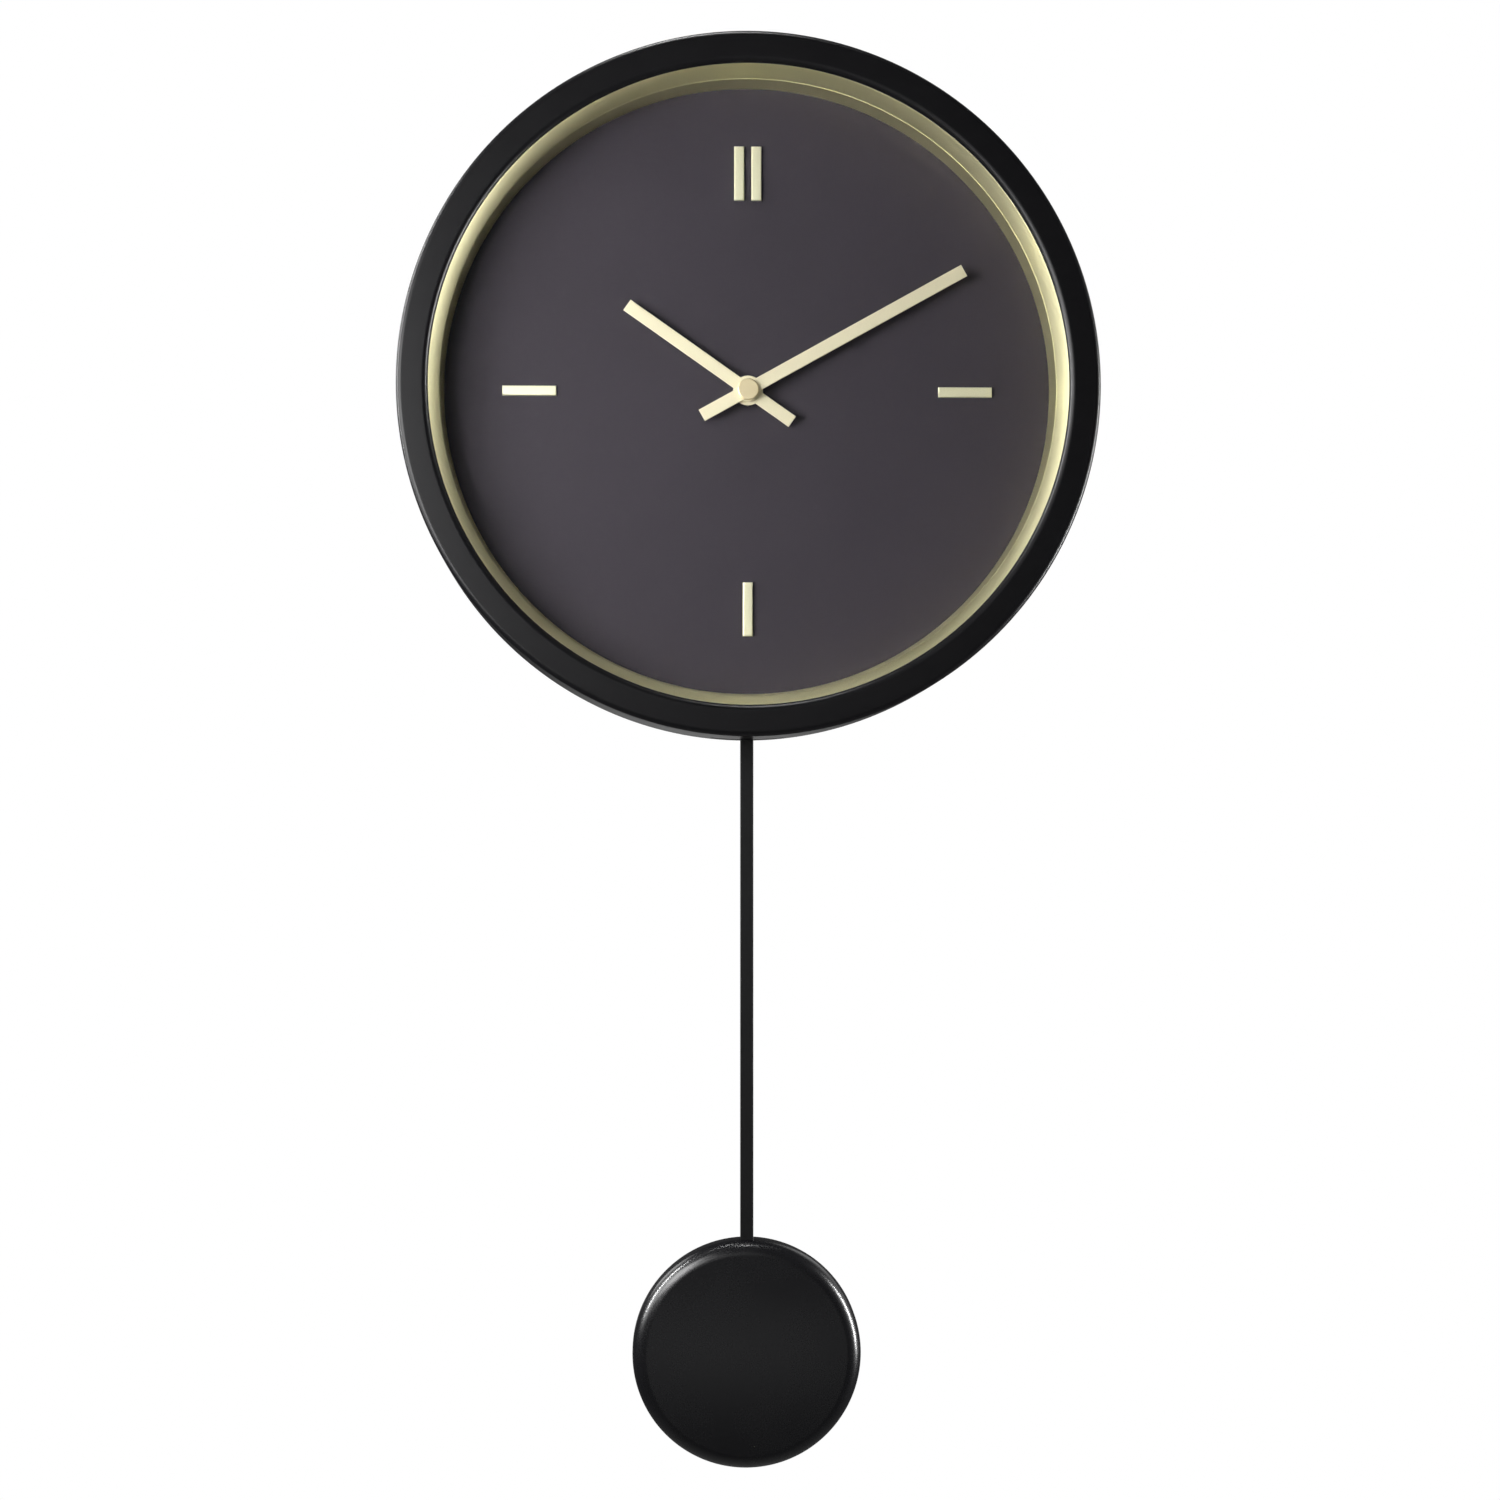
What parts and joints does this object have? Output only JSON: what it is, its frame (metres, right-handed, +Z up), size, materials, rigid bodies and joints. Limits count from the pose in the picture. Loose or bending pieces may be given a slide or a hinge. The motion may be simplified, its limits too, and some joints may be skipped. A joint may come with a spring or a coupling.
{
  "type": "pendulum wall clock",
  "caption": "Round battery wall clock with a deep gilt reveal ring, baton hands and hour markers, and a flat rod pendulum with a disc bob that swings below the case.",
  "frame": {"origin": "top end of the keyhole slot, on the wall plane, where the hanging screw carries the clock", "axes": "+Z up, +Y into the wall, so the dial faces -Y; +X to the right of someone facing the dial"},
  "size_m": [0.2628, 0.048, 0.5395],
  "materials": {
    "case_black": "satin black moulding",
    "lens": "clear mineral glass",
    "gilt": "satin pale gold anodising",
    "gilt_marker": "satin pale gold anodising",
    "dial": "satin dark grey paint",
    "steel": "zinc plated",
    "cover_black": "fine textured black",
    "plated_steel": "bright zinc plated sheet",
    "rubber": "matte black",
    "brass": "turned brass",
    "movement_black": "moulded black",
    "white_plastic": "natural acetal",
    "copper": "enamelled copper wire",
    "board": "solder mask",
    "hand_gilt": "satin warm gold anodising",
    "knob_grey": "moulded grey",
    "magnet": "nickel plated magnet",
    "cell_jacket": "printed jacket without marks",
    "rod_black": "satin black enamel",
    "bob_black": "semi gloss black enamel"
  },
  "bodies": {
    "case": {"bezel_case": "case_black", "glass_lens": "lens", "reveal_ring": "gilt", "dial_plate": "dial", "marker_12_left": "gilt_marker", "marker_12_right": "gilt_marker", "marker_3": "gilt_marker", "marker_6": "gilt_marker", "marker_9": "gilt_marker", "ring_screw_1": "steel", "ring_screw_2": "steel", "ring_screw_3": "steel", "back_cover": "cover_black", "cover_screw_1": "steel", "cover_screw_2": "steel", "cover_screw_3": "steel", "cover_screw_4": "steel", "hanger_plate": "plated_steel", "hanger_screw_left": "steel", "hanger_screw_right": "steel", "wall_pad_left": "rubber", "wall_pad_right": "rubber", "threaded_bushing": "brass", "rubber_washer": "rubber", "clamp_nut": "brass", "movement_front": "movement_black", "movement_back": "movement_black", "stator_core": "plated_steel", "coil_core": "plated_steel", "coil_bobbin": "white_plastic", "coil_winding": "copper", "circuit_board": "board", "quartz_crystal": "plated_steel", "negative_contact": "plated_steel", "battery_spring": "plated_steel", "positive_contact": "plated_steel", "pendulum_pivot_pin": "steel", "pendulum_coil": "copper"},
    "minute_shaft": {"minute_arbor": "steel", "centre_wheel": "brass", "minute_hand": "hand_gilt", "hand_cap": "hand_gilt"},
    "hour_pipe": {"hour_wheel": "white_plastic", "hour_hand": "hand_gilt"},
    "setting_shaft": {"motion_wheel": "white_plastic", "setting_knob": "knob_grey"},
    "third_arbor": {"third_wheel": "white_plastic"},
    "seconds_arbor": {"seconds_wheel": "white_plastic"},
    "intermediate_arbor": {"intermediate_wheel": "white_plastic"},
    "rotor": {"rotor_pinion": "white_plastic", "rotor_magnet": "magnet"},
    "pendulum": {"swing_lever": "white_plastic", "lever_magnet": "magnet", "pendulum_rod": "rod_black", "bob_front": "bob_black", "bob_back": "rod_black", "bob_weight": "steel", "rod_clamp": "movement_black", "clamp_screw": "steel"},
    "battery": {"battery_cell": "cell_jacket"}
  },
  "joints": [
    {"name": "minute_turn", "type": "hinge", "parent": "case", "child": "minute_shaft", "pos_m": [0, 0, -0.095], "axis": [0, 1, 0], "continuous": true},
    {"name": "hour_turn", "type": "hinge", "parent": "case", "child": "hour_pipe", "pos_m": [0, 0, -0.095], "axis": [0, 1, 0], "continuous": true},
    {"name": "setting_turn", "type": "hinge", "parent": "case", "child": "setting_shaft", "pos_m": [-0.01039, 0, -0.089], "axis": [0, 1, 0], "continuous": true},
    {"name": "third_turn", "type": "hinge", "parent": "case", "child": "third_arbor", "pos_m": [0.00827, 0, -0.08806], "axis": [0, 1, 0], "continuous": true},
    {"name": "seconds_turn", "type": "hinge", "parent": "case", "child": "seconds_arbor", "pos_m": [0.0065, 0, -0.07801], "axis": [0, 1, 0], "continuous": true},
    {"name": "intermediate_turn", "type": "hinge", "parent": "case", "child": "intermediate_arbor", "pos_m": [-0.00161, 0, -0.08019], "axis": [0, 1, 0], "continuous": true},
    {"name": "rotor_turn", "type": "hinge", "parent": "case", "child": "rotor", "pos_m": [-0.00785, 0, -0.07659], "axis": [0, 1, 0], "continuous": true},
    {"name": "pendulum_swing", "type": "hinge", "parent": "case", "child": "pendulum", "pos_m": [0, 0, -0.135], "axis": [0, 1, 0], "range_deg": [-6, 6]},
    {"name": "battery_out", "type": "slide", "parent": "case", "child": "battery", "axis": [0, 1, 0], "range_m": [0, 0.02]}
  ],
  "couplings": [
    {"joint": "hour_turn", "follows": "minute_turn", "ratio": 0.083333},
    {"joint": "setting_turn", "follows": "minute_turn", "ratio": -0.33333},
    {"joint": "third_turn", "follows": "minute_turn", "ratio": -8},
    {"joint": "seconds_turn", "follows": "minute_turn", "ratio": 60},
    {"joint": "intermediate_turn", "follows": "minute_turn", "ratio": -360},
    {"joint": "rotor_turn", "follows": "minute_turn", "ratio": 1800}
  ]
}
